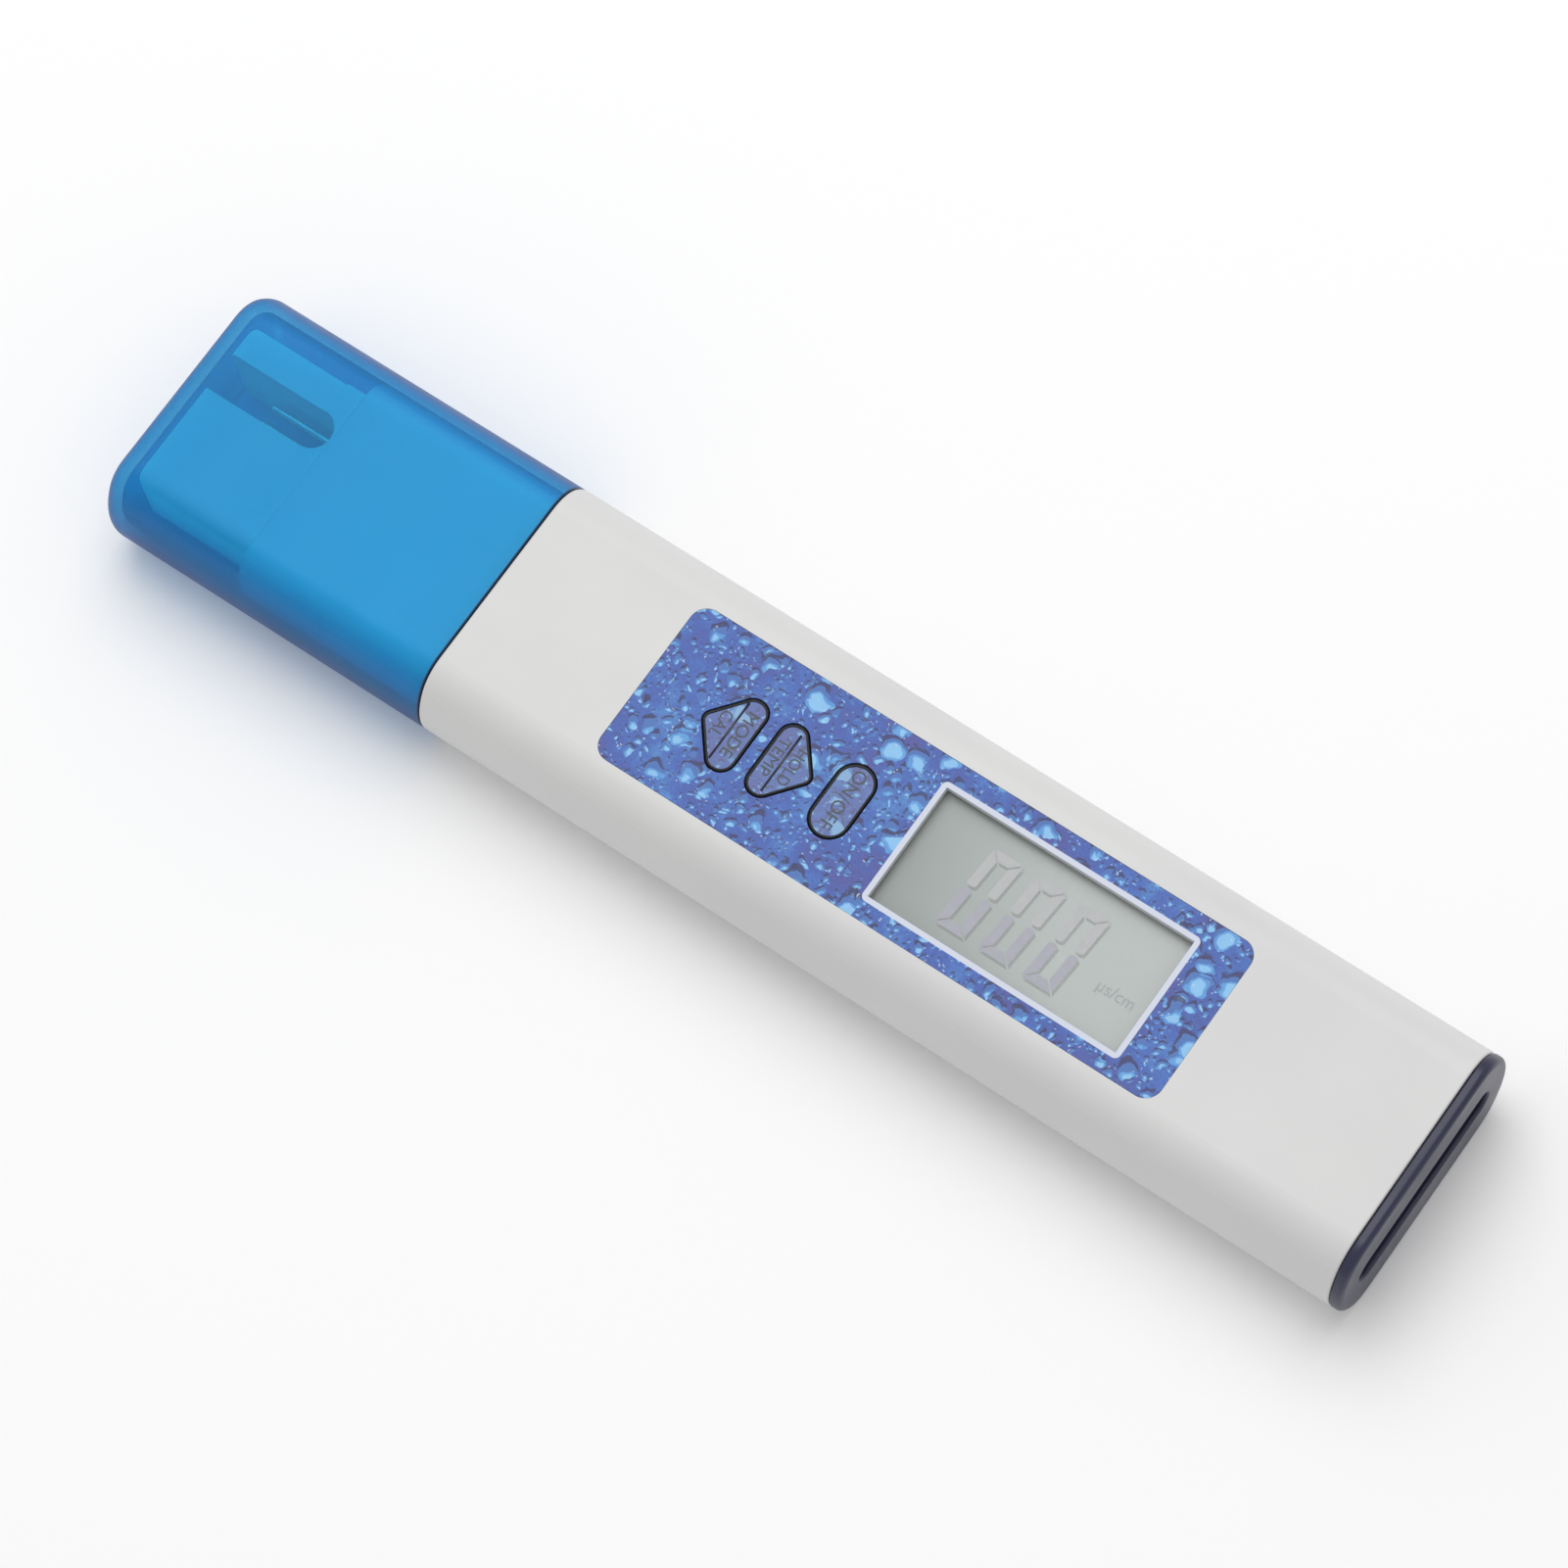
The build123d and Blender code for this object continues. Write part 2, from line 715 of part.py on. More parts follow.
def cell_profile(y, lid_up):
    """Half section of a button cell: a can, its crimped shoulder and a raised lid."""
    turn = 1 if lid_up else -1
    base = cell_bottom if lid_up else cell_bottom + cell_height
    shoulder_height = cell_height - crimp_height
    lid_radius = cell_radius - crimp_height - crimp_width
    with BuildSketch(Plane(origin=(cell_x, y, base), x_dir=(1, 0, 0), z_dir=(0, -turn, 0))) as half:
        with BuildLine():
            Polyline(
                (0, 0),
                (cell_radius - can_bevel, 0),
                (cell_radius, can_bevel),
                (cell_radius, shoulder_height - crimp_width),
                (cell_radius - crimp_height, shoulder_height),
                (lid_radius, shoulder_height),
                (lid_radius - lid_slope, cell_height),
                (0, cell_height),
                close=True,
            )
        make_face()
    return half.sketch


cells = (("battery_cell_left", cell_y, True), ("battery_cell_right", -cell_y, False))
for cell_name, y, lid_up in cells:
    with BuildPart() as cell:
        revolve(cell_profile(y, lid_up), axis=Axis((cell_x, y, 0), (0, 0, 1)))
    save(cell, cell_name)

# Two leaf springs on the board's end press down on the cells.
leaf_root_z = board_top + leaf_thick / 2
with BuildPart() as battery_contacts:
    for y in (-cell_y, cell_y):
        with BuildSketch(upright(y)):
            with BuildLine():
                spine = Polyline(
                    (leaf_root_x, leaf_root_z),
                    (leaf_bend_x, leaf_root_z),
                    (leaf_knee_x, leaf_low + leaf_knee_rise),
                    (leaf_touch_x, leaf_low),
                    (leaf_lift_x, leaf_low),
                    (leaf_tip_x, leaf_low + leaf_tip_rise),
                )
            trace(spine, leaf_thick)
        extrude(amount=leaf_width / 2, both=True)
save(battery_contacts, "battery_contacts")
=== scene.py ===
import math

import bmesh
import bpy
from mathutils import Matrix, Vector


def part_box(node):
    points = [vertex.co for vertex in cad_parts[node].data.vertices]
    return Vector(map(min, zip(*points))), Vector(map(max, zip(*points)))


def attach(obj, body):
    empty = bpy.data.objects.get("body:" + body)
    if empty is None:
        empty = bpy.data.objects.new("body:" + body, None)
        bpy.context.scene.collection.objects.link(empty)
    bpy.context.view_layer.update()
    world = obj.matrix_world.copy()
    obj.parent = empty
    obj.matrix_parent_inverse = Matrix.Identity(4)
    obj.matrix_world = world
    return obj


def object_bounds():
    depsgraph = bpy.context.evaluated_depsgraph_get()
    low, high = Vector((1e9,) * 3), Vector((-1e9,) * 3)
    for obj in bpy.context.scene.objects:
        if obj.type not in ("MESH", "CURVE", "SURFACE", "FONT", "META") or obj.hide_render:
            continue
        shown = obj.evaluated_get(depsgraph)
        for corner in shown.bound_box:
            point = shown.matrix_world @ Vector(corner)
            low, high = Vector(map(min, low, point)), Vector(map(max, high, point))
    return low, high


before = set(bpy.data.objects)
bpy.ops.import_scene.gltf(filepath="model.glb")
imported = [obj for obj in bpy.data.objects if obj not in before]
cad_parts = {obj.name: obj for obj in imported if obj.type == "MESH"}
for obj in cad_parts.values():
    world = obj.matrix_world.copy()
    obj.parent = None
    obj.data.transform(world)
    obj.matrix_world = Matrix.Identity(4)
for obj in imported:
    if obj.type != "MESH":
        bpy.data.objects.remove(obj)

CAD_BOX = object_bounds()
MM = 0.001

# ---------------------------------------------------------------- places, from the frame
PEN_LOW, PEN_HIGH = CAD_BOX
TOP = PEN_HIGH.z
LABEL_LOW, LABEL_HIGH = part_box("label_overlay")
LENS_LOW, LENS_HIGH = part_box("window_lens")
PANEL_LOW, PANEL_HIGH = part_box("display_panel")
LENS_MARGIN = 2.0 * MM  # lens beyond the window on each side
WINDOW_LOW = Vector((LENS_LOW.x + LENS_MARGIN, LENS_LOW.y + LENS_MARGIN - 0.15 * MM, 0))
WINDOW_HIGH = Vector((LENS_HIGH.x - LENS_MARGIN, LENS_HIGH.y - LENS_MARGIN - 0.15 * MM, 0))
PRINT_LIFT = 0.02 * MM  # ink stands this far proud of the film under it
KEYS = ("mode_cal", "hold_temp", "on_off")


# ---------------------------------------------------------------- camera
def make_camera():
    """Long lens, from above the near side towards the display end."""
    data = bpy.data.cameras.new("camera")
    data.sensor_width = 36.0
    data.lens = 143.49
    data.clip_start = 0.01
    data.clip_end = 20.0
    cam = bpy.data.objects.new("camera", data)
    bpy.context.scene.collection.objects.link(cam)
    right = Vector((0.813037, 0.575379, -0.088939))
    down = Vector((0.510833, -0.778275, -0.365154))
    forward = Vector((-0.279321, 0.25145, -0.926689))
    turn = Matrix((right, -down, -forward)).transposed()
    cam.rotation_mode = "QUATERNION"
    cam.rotation_quaternion = turn.to_quaternion()
    cam.location = Vector((0.17683, -0.15934, 0.59419))
    bpy.context.scene.camera = cam


# ---------------------------------------------------------------- node helpers
class Nodes:
    """A material's node tree with short calls for the nodes that repeat."""

    def __init__(self, name):
        self.material = bpy.data.materials.new(name)
        self.material.use_nodes = True
        self.tree = self.material.node_tree
        self.shader = self.tree.nodes["Principled BSDF"]
        self.place = self.tree.nodes.new("ShaderNodeTexCoord").outputs["Object"]

    def set(self, **values):
        """Values that are the same all over, on the shader's own sockets."""
        for key, value in values.items():
            self.shader.inputs[key.replace("_", " ")].default_value = value
        return self

    def link(self, source, socket):
        self.tree.links.new(source, socket)

    def into(self, source, key):
        self.link(source, self.shader.inputs[key])

    def feed(self, socket, value):
        if isinstance(value, bpy.types.NodeSocket):
            self.link(value, socket)
        else:
            socket.default_value = value

    def noise(self, scale, detail=2.0, rough=0.5, vector=None, distortion=0.0):
        node = self.tree.nodes.new("ShaderNodeTexNoise")
        node.inputs["Scale"].default_value = scale
        node.inputs["Detail"].default_value = detail
        node.inputs["Roughness"].default_value = rough
        node.inputs["Distortion"].default_value = distortion
        self.link(vector or self.place, node.inputs["Vector"])
        return node.outputs["Fac"]

    def voronoi(self, scale, vector, output="Distance", flat=False, feature="F1",
                randomness=1.0):
        node = self.tree.nodes.new("ShaderNodeTexVoronoi")
        node.feature = feature
        if flat:
            node.voronoi_dimensions = "2D"
        node.inputs["Scale"].default_value = scale
        node.inputs["Randomness"].default_value = randomness
        self.link(vector, node.inputs["Vector"])
        return node.outputs[output]

    def ramp(self, fac, stops):
        node = self.tree.nodes.new("ShaderNodeValToRGB")
        marks = node.color_ramp.elements
        while len(marks) < len(stops):
            marks.new(0.5)
        for mark, (at, colour) in zip(marks, stops):
            mark.position = at
            mark.color = (*colour, 1.0)
        self.link(fac, node.inputs["Fac"])
        return node.outputs["Color"]

    def range(self, fac, low, high, to_low, to_high, smooth=False):
        node = self.tree.nodes.new("ShaderNodeMapRange")
        if smooth:
            node.interpolation_type = "SMOOTHSTEP"
        ends = {"From Min": low, "From Max": high, "To Min": to_low, "To Max": to_high}
        for key, value in ends.items():
            node.inputs[key].default_value = value
        self.link(fac, node.inputs["Value"])
        return node.outputs["Result"]

    def maths(self, kind, a, b=0.0):
        node = self.tree.nodes.new("ShaderNodeMath")
        node.operation = kind
        self.feed(node.inputs[0], a)
        self.feed(node.inputs[1], b)
        return node.outputs[0]

    def vector_maths(self, kind, a, b):
        node = self.tree.nodes.new("ShaderNodeVectorMath")
        node.operation = kind
        self.feed(node.inputs[0], a)
        self.feed(node.inputs[1], b)
        return node.outputs["Vector"]

    def mix(self, fac, a, b):
        node = self.tree.nodes.new("ShaderNodeMix")
        node.data_type = "RGBA"
        self.feed(node.inputs["Factor"], fac)
        for socket, value in ((node.inputs[6], a), (node.inputs[7], b)):
            if isinstance(value, tuple) and len(value) == 3:
                value = (*value, 1.0)
            self.feed(socket, value)
        return node.outputs[2]

    def parts(self, vector=None):
        """The x, y and z outputs of a vector, or of the place when none is given."""
        node = self.tree.nodes.new("ShaderNodeSeparateXYZ")
        self.link(vector or self.place, node.inputs[0])
        return node.outputs

    def bump(self, height, strength, distance):
        """Add a bump on top of what already feeds the shader's normal."""
        node = self.tree.nodes.new("ShaderNodeBump")
        node.inputs["Strength"].default_value = strength
        node.inputs["Distance"].default_value = distance
        self.link(height, node.inputs["Height"])
        feeding = self.shader.inputs["Normal"].links
        if feeding:
            self.link(feeding[0].from_socket, node.inputs["Normal"])
        self.into(node.outputs["Normal"], "Normal")
        return self


def srgb(r, g, b):
    """A colour given as 0 to 255 on screen, as the shader's linear values."""
    out = []
    for value in (r, g, b):
        v = value / 255
        out.append(v / 12.92 if v <= 0.04045 else ((v + 0.055) / 1.055) ** 2.4)
    return tuple(out)


def moulded(name, colour, shade, rough=0.42, grain=2600.0, grain_depth=0.012, specular=0.5):
    """Moulded plastic: fine spark-eroded grain, slow colour drift, rubbed patches."""
    n = Nodes(name).set(Specular_IOR_Level=specular)
    drift = n.noise(38.0, 3.0)
    n.into(n.mix(n.range(drift, 0.35, 0.65, 0.0, 1.0), colour, shade), "Base Color")
    rubbed = n.noise(90.0, 4.0, 0.6)
    n.into(n.range(rubbed, 0.3, 0.7, rough - 0.06, rough + 0.07), "Roughness")
    n.bump(n.noise(grain, 3.0, 0.6), 0.35, grain_depth * MM)
    return n


# ---------------------------------------------------------------- water-drop print
def drop_layer(n, place, scale, small, large, lean, soft):
    """Beads of one size range: where beads, dark upper rims, shaded tops and glints are.

    A bead fills a cell of a random pattern out to its own random radius, so a cell
    whose radius comes out below zero stays empty.  Rims, shades and glints are the same
    bead moved along the printed light's direction.
    """
    def bead(lift, shrink):
        """The layer's beads, moved by lift in mm and made smaller by shrink."""
        moved = n.vector_maths("ADD", place, (0.5 * lift * MM, -0.85 * lift * MM, 0.0))
        far = n.voronoi(scale, moved, flat=True)
        chance = n.parts(n.voronoi(scale, moved, "Color", True))[0]
        radius = n.range(chance, 0.0, 1.0, small - shrink, large - shrink)
        return n.range(n.maths("SUBTRACT", radius, far), 0.0, soft, 0.0, 1.0, smooth=True)

    body = bead(0.0, 0.0)
    rim = n.maths("MULTIPLY", bead(lean, 0.0), n.maths("SUBTRACT", 1.0, body))
    top = n.maths("MULTIPLY", body, n.maths("SUBTRACT", 1.0, bead(-lean, 0.02)))
    glint = n.maths("MULTIPLY", body, bead(-0.6 * lean, 0.17))
    return body, rim, top, glint


def water_print(name, dim=0.0):
    """Printed picture of water beads on blue, under a thin clear gloss film."""
    n = Nodes(name).set(Roughness=0.3, Specular_IOR_Level=0.25)
    n.set(Coat_Weight=0.2, Coat_Roughness=0.15)
    bend = (0.0, 0.0, 0.0)  # pulls the beads out of round
    for scale, reach in ((420.0, 2.0), (1500.0, 0.5)):
        wobble = n.tree.nodes.new("ShaderNodeTexNoise")
        wobble.inputs["Scale"].default_value = scale
        wobble.inputs["Detail"].default_value = 1.0
        n.link(n.place, wobble.inputs["Vector"])
        away = n.vector_maths("SUBTRACT", wobble.outputs["Color"], (0.5, 0.5, 0.5))
        away = n.vector_maths("MULTIPLY", away, (reach * MM, reach * MM, 0.0))
        bend = n.vector_maths("ADD", away, bend)
    flat = n.vector_maths("MULTIPLY", n.place, (1.0, 1.0, 0.0))
    place = n.vector_maths("ADD", flat, bend)

    hue = n.ramp(n.noise(170.0, 3.0, 0.6), [
        (0.34, srgb(78, 84, 156)), (0.46, srgb(64, 96, 176)),
        (0.56, srgb(66, 110, 190)), (0.68, srgb(84, 146, 210))])
    speck = n.range(n.noise(3000.0, 3.0, 0.7), 0.35, 0.7, 0.0, 0.6)
    colour = n.mix(speck, hue, srgb(52, 72, 150))
    for scale, small, large, lean, soft in (
            (1350.0, -0.10, 0.44, 0.2, 0.12),
            (690.0, -0.16, 0.46, 0.34, 0.08),
            (330.0, -0.24, 0.5, 0.55, 0.06)):
        body, rim, top, glint = drop_layer(n, place, scale, small, large, lean, soft)
        shade = n.mix(n.noise(900.0, 2.0), srgb(46, 38, 74), srgb(50, 56, 112))
        colour = n.mix(n.maths("MULTIPLY", rim, 0.85), colour, shade)
        light = n.mix(n.noise(620.0, 3.0), srgb(66, 128, 202), srgb(108, 180, 234))
        colour = n.mix(n.maths("MULTIPLY", body, 0.88), colour, light)
        colour = n.mix(n.maths("MULTIPLY", top, 0.75), colour, srgb(60, 92, 166))
        colour = n.mix(n.maths("MULTIPLY", glint, 0.55), colour, srgb(160, 214, 246))
    sparkle = n.range(n.voronoi(1100.0, place, flat=True), 0.0, 0.16, 1.0, 0.0, smooth=True)
    some = n.range(n.noise(500.0, 1.0), 0.55, 0.6, 0.0, 0.8)
    colour = n.mix(n.maths("MULTIPLY", sparkle, some), colour, srgb(205, 228, 246))
    if dim:
        colour = n.mix(dim, colour, srgb(30, 52, 120))
    return n, colour


def label_material():
    """Water print with a plain white frame printed round the window."""
    n, colour = water_print("label_print")
    x, y, _z = n.parts()
    centre = (WINDOW_LOW + WINDOW_HIGH) / 2
    half = (WINDOW_HIGH - WINDOW_LOW) / 2
    border, corner = 0.62 * MM, 0.7 * MM
    gaps = []
    for along, middle, reach in ((x, centre.x, half.x), (y, centre.y, half.y)):
        away = n.maths("ABSOLUTE", n.maths("SUBTRACT", along, middle))
        gaps.append(n.maths("MAXIMUM", n.maths("SUBTRACT", away, reach + border - corner), 0.0))
    reach = n.maths("SQRT", n.maths("ADD", n.maths("MULTIPLY", gaps[0], gaps[0]),
                                    n.maths("MULTIPLY", gaps[1], gaps[1])))
    white = n.range(reach, corner - 0.06 * MM, corner, 1.0, 0.0)
    n.into(n.mix(white, colour, srgb(206, 211, 226)), "Base Color")
    n.bump(n.noise(1800.0, 2.0), 0.2, 0.006 * MM)
    return n.material


def film_material():
    """The same print, darker on the keys."""
    n, colour = water_print("key_print", 0.34)
    n.into(colour, "Base Color")
    n.set(Roughness=0.22, Coat_Weight=0.8, Coat_Roughness=0.06)
    n.bump(n.noise(900.0, 2.0), 0.35, 0.03 * MM)
    return n.material


# ---------------------------------------------------------------- other materials
def cap_material():
    """Frosted see-through blue: part of each surface passes tinted light.

    Seen aslant, the wall is thicker along the line of sight, so it passes less light
    and looks deeper in colour.  A thin band at the mouth is painted almost black, a painted
    shade for the dark seam line, and the lower wall, which lies in the pen's own shade,
    passes less light than the rest.
    """
    # painted shade: the band between these distances back from the mouth is painted nearly
    # black
    painted_mouth_shade_from, painted_mouth_shade_to = 0.22 * MM, 0.12 * MM  # dark line, measured back from the mouth
    lower_wall, side_wall = 2.0 * MM, 3.2 * MM  # heights between which the shade fades
    n = Nodes("cap_blue").set(Specular_IOR_Level=0.5)
    cloud = n.range(n.noise(55.0, 4.0, 0.6), 0.35, 0.65, 0.0, 1.0)
    aslant = n.tree.nodes.new("ShaderNodeLayerWeight")
    aslant.inputs["Blend"].default_value = 0.5
    aslant = n.range(aslant.outputs["Facing"], 0.1, 0.85, 0.0, 1.0)
    face = n.mix(cloud, srgb(56, 172, 240), srgb(66, 180, 246))
    base = n.mix(aslant, face, srgb(40, 74, 130))
    n.into(n.range(n.noise(120.0, 4.0, 0.6), 0.3, 0.7, 0.26, 0.36), "Roughness")
    n.bump(n.noise(2200.0, 3.0, 0.6), 0.3, 0.01 * MM)
    clear = n.tree.nodes.new("ShaderNodeBsdfTransparent")
    n.link(n.mix(aslant, (0.44, 0.9, 1.0), (0.18, 0.48, 0.84)), clear.inputs["Color"])
    x, _y, z = n.parts()
    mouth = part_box("probe_cap")[1].x
    # painted shade: near the mouth the colour goes nearly black and the wall turns opaque,
    # standing in for the dark seam line
    painted_mouth_shade = n.range(x, mouth - painted_mouth_shade_from, mouth - painted_mouth_shade_to, 1.0, 0.06)
    n.into(n.mix(painted_mouth_shade, srgb(14, 20, 52), base), "Base Color")
    share = n.maths("MULTIPLY", n.range(aslant, 0.0, 1.0, 0.8, 0.34), painted_mouth_shade)
    share = n.maths("MULTIPLY", share, n.range(z, lower_wall, side_wall, 0.45, 1.0))
    blend = n.tree.nodes.new("ShaderNodeMixShader")
    n.link(share, blend.inputs[0])
    n.link(n.shader.outputs[0], blend.inputs[1])
    n.link(clear.outputs[0], blend.inputs[2])
    n.link(blend.outputs[0], n.tree.nodes["Material Output"].inputs["Surface"])
    return n.material


def lens_material():
    """Thin clear window with a faint haze of fine scratches."""
    n = Nodes("lens_clear").set(Alpha=0.1, Roughness=0.12)
    scratch = n.range(n.noise(1400.0, 4.0, 0.7, distortion=0.6), 0.3, 0.7, 0.0, 1.0)
    n.into(n.mix(scratch, (0.9, 0.93, 0.92), (0.8, 0.84, 0.83)), "Base Color")
    n.bump(n.noise(200.0, 2.0), 0.1, 0.01 * MM)
    return n.material


def lcd_material():
    """Grey-green reflective display, darker where the frame shades it."""
    n = Nodes("lcd_glass").set(Roughness=0.35)
    x, y, _z = n.parts()
    across = n.range(x, WINDOW_LOW.x, WINDOW_HIGH.x, 0.0, 1.0)
    up = n.range(y, WINDOW_LOW.y, WINDOW_HIGH.y, 0.0, 1.0)
    # painted light: the display is painted darker towards its left end and its lower edge,
    # where less light falls on it
    painted_light_slope = n.maths("ADD", n.maths("MULTIPLY", across, 0.8), n.maths("MULTIPLY", up, 0.2))
    tone = n.ramp(painted_light_slope, [(0.0, srgb(112, 122, 118)), (0.25, srgb(142, 152, 148)),
                          (0.6, srgb(172, 179, 176)), (1.0, srgb(177, 183, 181))])
    mottle = n.range(n.noise(2400.0, 2.0), 0.3, 0.7, 0.0, 0.12)
    tone = n.mix(mottle, tone, srgb(140, 150, 148))
    shade_x = n.range(x, WINDOW_LOW.x, WINDOW_LOW.x + 1.2 * MM, 0.22, 0.0, smooth=True)
    shade_y = n.range(y, WINDOW_HIGH.y - 0.7 * MM, WINDOW_HIGH.y, 0.0, 0.16, smooth=True)
    tone = n.mix(n.maths("MAXIMUM", shade_x, shade_y), tone, srgb(96, 104, 102))
    n.into(tone, "Base Color")
    n.bump(n.noise(3000.0, 2.0), 0.15, 0.005 * MM)
    return n.material


def metal(name, colour, rough, stretch=(1.0, 1.0, 1.0)):
    """Plated metal with fine drawn lines and dull patches."""
    n = Nodes(name).set(Metallic=1.0)
    drawn = n.noise(900.0, 4.0, 0.6, vector=n.vector_maths("MULTIPLY", n.place, stretch))
    darker = tuple(0.78 * c for c in colour)
    n.into(n.mix(n.range(drawn, 0.3, 0.7, 0.0, 1.0), colour, darker), "Base Color")
    n.into(n.range(n.noise(260.0, 3.0), 0.3, 0.7, rough - 0.06, rough + 0.1), "Roughness")
    n.bump(drawn, 0.25, 0.01 * MM)
    return n.material


def banded_rubber():
    """Contact strip: alternate conducting and plain layers along its length."""
    layer_pitch = 0.2 * MM
    n = Nodes("zebra_rubber").set(Roughness=0.7)
    x, _y, _z = n.parts()
    layer = n.maths("SINE", n.maths("MULTIPLY", x, 2 * math.pi / layer_pitch))
    layer = n.range(layer, -0.3, 0.3, 0.0, 1.0)
    n.into(n.mix(layer, (0.03, 0.03, 0.03), (0.45, 0.47, 0.5)), "Base Color")
    n.bump(n.noise(1500.0, 2.0), 0.3, 0.01 * MM)
    return n.material


def board_material():
    """Solder mask over copper tracks."""
    n = Nodes("board_green").set(Coat_Weight=0.4, Coat_Roughness=0.2)
    grid = n.vector_maths("MULTIPLY", n.place, (220.0, 420.0, 1.0))
    track = n.voronoi(1.0, grid, feature="DISTANCE_TO_EDGE", randomness=0.35)
    raised = n.range(track, 0.05, 0.09, 1.0, 0.0)
    n.into(n.mix(raised, (0.012, 0.11, 0.045), (0.03, 0.2, 0.08)), "Base Color")
    n.into(n.range(n.noise(300.0, 3.0), 0.3, 0.7, 0.3, 0.45), "Roughness")
    n.bump(raised, 0.4, 0.02 * MM)
    return n.material


def component_material():
    """Ceramic chip bodies, mottled brown."""
    n = Nodes("component_tan").set(Roughness=0.4)
    n.into(n.mix(n.noise(1800.0, 3.0), (0.3, 0.2, 0.1), (0.5, 0.38, 0.22)), "Base Color")
    n.bump(n.noise(2500.0, 3.0), 0.3, 0.01 * MM)
    return n.material


def ink(name, colour, rough=0.3, alpha=1.0):
    """Thin printed ink with slightly uneven cover."""
    n = Nodes(name).set(Roughness=rough, Alpha=alpha)
    thin = tuple(min(1.0, 1.35 * c + 0.01) for c in colour)
    n.into(n.mix(n.noise(2600.0, 3.0, 0.7), colour, thin), "Base Color")
    n.bump(n.noise(2600.0, 2.0), 0.2, 0.004 * MM)
    return n.material


# ---------------------------------------------------------------- mesh helpers
def seat(mesh, name, body, material):
    """Make a mesh in the row frame into a piece that rides a body."""
    thing = bpy.data.objects.new(name, mesh)
    bpy.context.scene.collection.objects.link(thing)
    mesh.materials.clear()
    mesh.materials.append(material)
    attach(thing, body)


def piece_from(bm, name, body, material, smooth=False):
    """Turn a bmesh in the row frame into a piece."""
    bmesh.ops.recalc_face_normals(bm, faces=bm.faces)
    mesh = bpy.data.meshes.new(name)
    bm.to_mesh(mesh)
    bm.free()
    if smooth:
        mesh.shade_smooth()
    seat(mesh, name, body, material)


def add_plate(bm, outline, bottom, thick):
    """A thin closed plate with the given outline, standing on a height."""
    low = [bm.verts.new((x, y, bottom)) for x, y in outline]
    high = [bm.verts.new((x, y, bottom + thick)) for x, y in outline]
    bm.faces.new(high)
    bm.faces.new(list(reversed(low)))
    count = len(outline)
    for i in range(count):
        j = (i + 1) % count
        bm.faces.new((low[i], low[j], high[j], high[i]))


def lettering(text, name, body, material, middle, size, height, turned, squeeze=1.0):
    """Flat raised lettering centred on a point; turned text reads towards -Y."""
    curve = bpy.data.curves.new(name, "FONT")
    curve.body = text
    curve.size = size
    curve.align_x = "CENTER"
    curve.align_y = "CENTER"
    curve.extrude = PRINT_LIFT / 2
    curve.resolution_u = 6
    holder = bpy.data.objects.new(name + "_curve", curve)
    mesh = bpy.data.meshes.new_from_object(holder)
    bpy.data.objects.remove(holder)
    bpy.data.curves.remove(curve)
    turn = Matrix.Rotation(-math.pi / 2, 4, "Z") if turned else Matrix.Identity(4)
    place = Matrix.Translation((middle[0], middle[1], height + PRINT_LIFT / 2))
    mesh.transform(place @ turn @ Matrix.Diagonal((squeeze, 1.0, 1.0, 1.0)))
    mesh.name = name
    seat(mesh, name, body, material)


# ---------------------------------------------------------------- display contents
DIGIT_WIDTH = 3.56 * MM
DIGIT_HEIGHT = 9.7 * MM
DIGIT_SLANT = 0.73 / 9.7
SEGMENT = 1.06 * MM
SEGMENT_GAP = 0.13 * MM
DIGIT_PITCH = 5.25 * MM
SEGMENT_THICK = 0.012 * MM
SHADOW_THICK = 0.005 * MM
SHADOW_SHIFT = (0.3 * MM, -0.28 * MM)
FIRST_DIGIT = Vector((WINDOW_LOW.x + 6.62 * MM, WINDOW_LOW.y + 1.86 * MM))


def zero_segments():
    """The six lit segments of a zero, upper three first, about its lower left corner."""
    w, h, t, g = DIGIT_WIDTH, DIGIT_HEIGHT, SEGMENT, SEGMENT_GAP
    waist = h / 2 + 1.6 * g
    left = [(0, h - g), (t, h - t - g), (t, waist + 0.16 * t), (0.7 * t, waist),
            (0.3 * t, waist), (0, waist + 0.16 * t)]
    top = [(g, h), (w - g, h), (w - t - g, h - t), (t + g, h - t)]
    upper = [left, top, [(w - x, y) for x, y in left]]
    lower = [[(x, h - y) for x, y in part] for part in upper]
    return upper, lower


def make_digits():
    """Three zeros, each segment a thin plate on the display, with a soft shadow below."""
    base = PANEL_HIGH.z + 0.01 * MM
    lit = base + 0.01 * MM
    # painted light: the upper segments are painted lighter and the lower ones darker, as the
    # light falls across the display
    inks = (ink("segment_upper", srgb(158, 158, 162)),
            ink("segment_lower", srgb(138, 137, 152)))
    shade = ink("segment_shadow", srgb(120, 124, 126), 0.6, alpha=0.1)
    for place in range(3):
        corner = FIRST_DIGIT + Vector((place * DIGIT_PITCH, 0))

        def put(point, shift=(0.0, 0.0)):
            x, y = point
            return (corner.x + x + DIGIT_SLANT * y + shift[0], corner.y + y + shift[1])

        shadow = bmesh.new()
        for half, parts, material in zip(("upper", "lower"), zero_segments(), inks):
            bm = bmesh.new()
            for outline in parts:
                add_plate(bm, [put(p) for p in outline], lit, SEGMENT_THICK)
                moved = [put(p, SHADOW_SHIFT) for p in outline]
                add_plate(shadow, moved, base, SHADOW_THICK)
            piece_from(bm, f"digit_{place + 1}_{half}", "handset", material)
        piece_from(shadow, f"digit_{place + 1}_shadow", "handset", shade)
    middle = (WINDOW_HIGH.x - 3.65 * MM, WINDOW_LOW.y + 5.35 * MM)
    unit_ink = ink("unit_ink", srgb(134, 136, 140))
    lettering("µs/cm", "unit_mark", "handset", unit_ink,
              middle, 2.0 * MM, lit, False, 0.92)


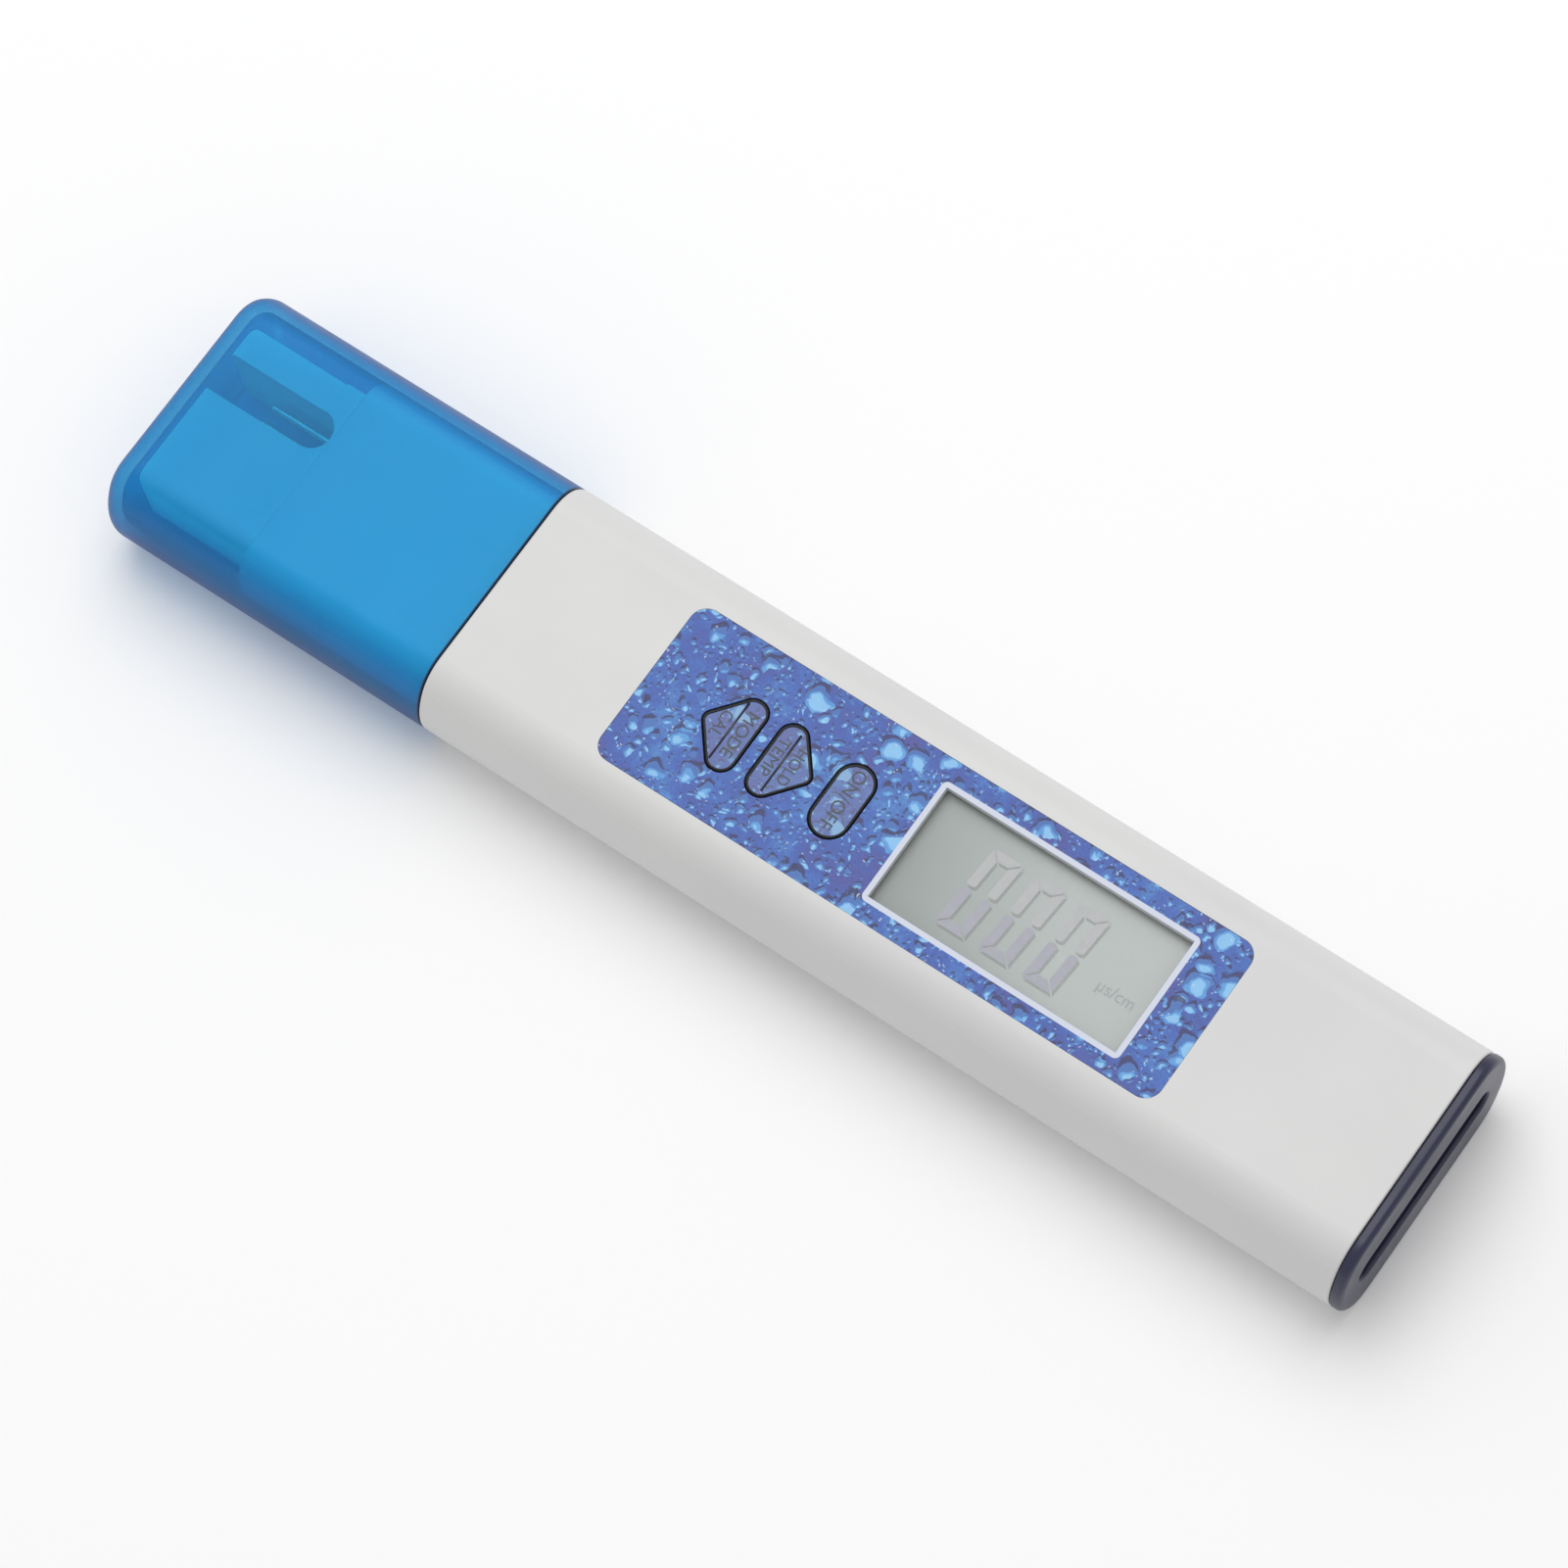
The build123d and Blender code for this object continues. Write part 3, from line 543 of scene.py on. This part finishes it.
# ---------------------------------------------------------------- key legends
LEGENDS = {
    "mode_cal": (("MODE", 1.24, 1.95, 1.0), ("CAL", 3.5, 1.85, 0.92)),
    "hold_temp": (("TEMP", 0.8, 1.85, 1.02), ("HOLD", 3.0, 1.8, 0.88)),
    "on_off": (("ON/OFF", -0.1, 2.1, 0.94),),
}  # word, distance of its middle from the key's flat side in mm, size in mm, stretch
DIVIDERS = {"mode_cal": 2.32, "hold_temp": 1.86}  # mm from the key's flat side


def make_legends():
    """Each key's words and, on the two pointed keys, the raised line between them."""
    dark = ink("legend_ink", srgb(26, 38, 52), 0.25)
    for key in KEYS:
        low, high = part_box(f"{key}_film")
        middle_y = (low.y + high.y) / 2
        towards = -1 if key == "mode_cal" else 1
        flat = high.x if key == "mode_cal" else low.x
        if key == "on_off":
            flat = (low.x + high.x) / 2
        for word, away, size, stretch in LEGENDS[key]:
            name = f"legend_{word.replace('/', '_').lower()}"
            place = (flat + towards * away * MM, middle_y + 0.2 * MM)
            lettering(word, name, f"{key}_button", dark,
                      place, size * MM, high.z, True, stretch)
        if key in DIVIDERS:
            line_x = flat + towards * DIVIDERS[key] * MM
            make_divider(f"{key}_divider", f"{key}_button", line_x, middle_y, high.z)


def make_divider(name, body, x, y, z):
    """Round-topped raised line across a key."""
    reach, half, steps = 3.55 * MM, 0.13 * MM, 8
    bm = bmesh.new()
    rings = []
    for k in range(steps + 1):
        turn = math.pi * k / steps
        rings.append((half * math.cos(turn), 0.5 * half * math.sin(turn)))
    ends = []
    for side in (-1, 1):
        ends.append([bm.verts.new((x + dx, y + side * reach, z + dz)) for dx, dz in rings])
    for k in range(steps):
        bm.faces.new((ends[0][k], ends[0][k + 1], ends[1][k + 1], ends[1][k]))
    bm.faces.new((ends[0][0], ends[1][0], ends[1][steps], ends[0][steps]))
    bm.faces.new(ends[0])
    bm.faces.new(list(reversed(ends[1])))
    piece_from(bm, name, body, bpy.data.materials["key_dark"], smooth=True)


# ---------------------------------------------------------------- stage
FLOOR_REACH = 3.0
FLOOR_DROP = 0.05 * MM  # keeps the floor clear of the pen's flat underside
WORLD_STRENGTH = 0.63
LAMP_PLACE = Vector((-0.25, 0.45, 1.1))
LAMP_SIZE = 1.1
LAMP_POWER = 7.7


def make_floor():
    """Plain pale floor under the pen."""
    bm = bmesh.new()
    corners = []
    for x, y in ((-1, -1), (1, -1), (1, 1), (-1, 1)):
        corners.append(bm.verts.new((x * FLOOR_REACH, y * FLOOR_REACH, -FLOOR_DROP)))
    bm.faces.new(corners)
    mesh = bpy.data.meshes.new("floor")
    bm.to_mesh(mesh)
    bm.free()
    floor = bpy.data.objects.new("floor", mesh)
    bpy.context.scene.collection.objects.link(floor)
    pale = Nodes("floor_pale").set(Roughness=0.9, Specular_IOR_Level=0.1)
    pale.set(Base_Color=(0.97, 0.97, 0.97, 1.0))
    mesh.materials.append(pale.material)


def make_light():
    """Soft even light from all round, with one large lamp above the far side."""
    world = bpy.data.worlds.new("studio")
    world.use_nodes = True
    background = world.node_tree.nodes["Background"]
    background.inputs["Color"].default_value = (1.0, 1.0, 1.0, 1.0)
    background.inputs["Strength"].default_value = WORLD_STRENGTH
    bpy.context.scene.world = world
    data = bpy.data.lights.new("lamp_above", "AREA")
    data.size = LAMP_SIZE
    data.energy = LAMP_POWER
    lamp = bpy.data.objects.new("lamp_above", data)
    bpy.context.scene.collection.objects.link(lamp)
    lamp.location = LAMP_PLACE
    lamp.rotation_mode = "QUATERNION"
    lamp.rotation_quaternion = (-LAMP_PLACE).to_track_quat("-Z", "Y")
    bpy.context.scene.view_settings.view_transform = "Standard"


# ---------------------------------------------------------------- CAD nodes
def paint(material, *nodes):
    """Give CAD nodes their finished material."""
    for node in nodes:
        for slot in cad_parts[node].material_slots:
            slot.material = material


def paint_outside():
    """The white sleeve, its label, keys and display, and the cap at each end."""
    sleeve = moulded("sleeve_white", srgb(214, 214, 213), srgb(210, 210, 210), 0.45)
    paint(sleeve.material, "body_shell")
    paint(label_material(), "label_overlay")
    paint(film_material(), *[f"{key}_film" for key in KEYS])
    dark = moulded("key_dark", srgb(5, 7, 12), srgb(9, 12, 18), 0.2, 900.0, 0.006, 0.22)
    paint(dark.material, *[f"{key}_key" for key in KEYS])
    paint(lens_material(), "window_lens")
    paint(lcd_material(), "display_panel")
    paint(cap_material(), "probe_cap")
    navy = moulded("end_navy", srgb(31, 33, 60), srgb(37, 39, 66), 0.34, specular=0.5)
    paint(navy.material, "end_cap")


def paint_inside():
    """Moulded, rubber and metal pieces, and the board with what stands on it."""
    probe = moulded("probe_white", srgb(232, 234, 234), srgb(224, 226, 226), 0.5)
    paint(probe.material, "probe_housing")
    inner = moulded("inner_white", srgb(225, 224, 218), srgb(214, 213, 206), 0.5)
    paint(inner.material, "display_holder", "battery_tray")
    black = moulded("chip_black", srgb(30, 30, 32), srgb(40, 40, 42), 0.55)
    paint(black.material, "controller_chip", "amplifier_chip", "switch_bases",
          *[f"{key}_plunger" for key in KEYS])
    rubber = moulded("seal_rubber", srgb(24, 24, 24), srgb(36, 36, 36), 0.7)
    paint(rubber.material, "probe_seal_ring", "end_cap_seal")
    wire = moulded("wire_sleeve", srgb(170, 40, 34), srgb(150, 34, 30), 0.4)
    paint(wire.material, "probe_leads")
    strap = moulded("strap_clear", srgb(206, 206, 202), srgb(194, 194, 190), 0.3)
    paint(strap.material, "cell_strap")
    lengthwise = (1.0, 5.0, 1.0)  # fine across the pen, so the lines run along it
    paint(metal("bright_steel", (0.62, 0.62, 0.63), 0.25),
          "crystal", "board_screws", "electrode_pins", "temperature_sensor")
    paint(metal("cell_can", (0.58, 0.57, 0.56), 0.42, lengthwise),
          "battery_cell_left", "battery_cell_right")
    paint(metal("contact_gold", (0.8, 0.62, 0.3), 0.28, lengthwise), "battery_contacts")
    paint(banded_rubber(), "zebra_strips")
    paint(board_material(), "main_board")
    paint(component_material(), "board_components")


make_camera()
paint_outside()
paint_inside()
make_digits()
make_legends()
make_floor()
make_light()
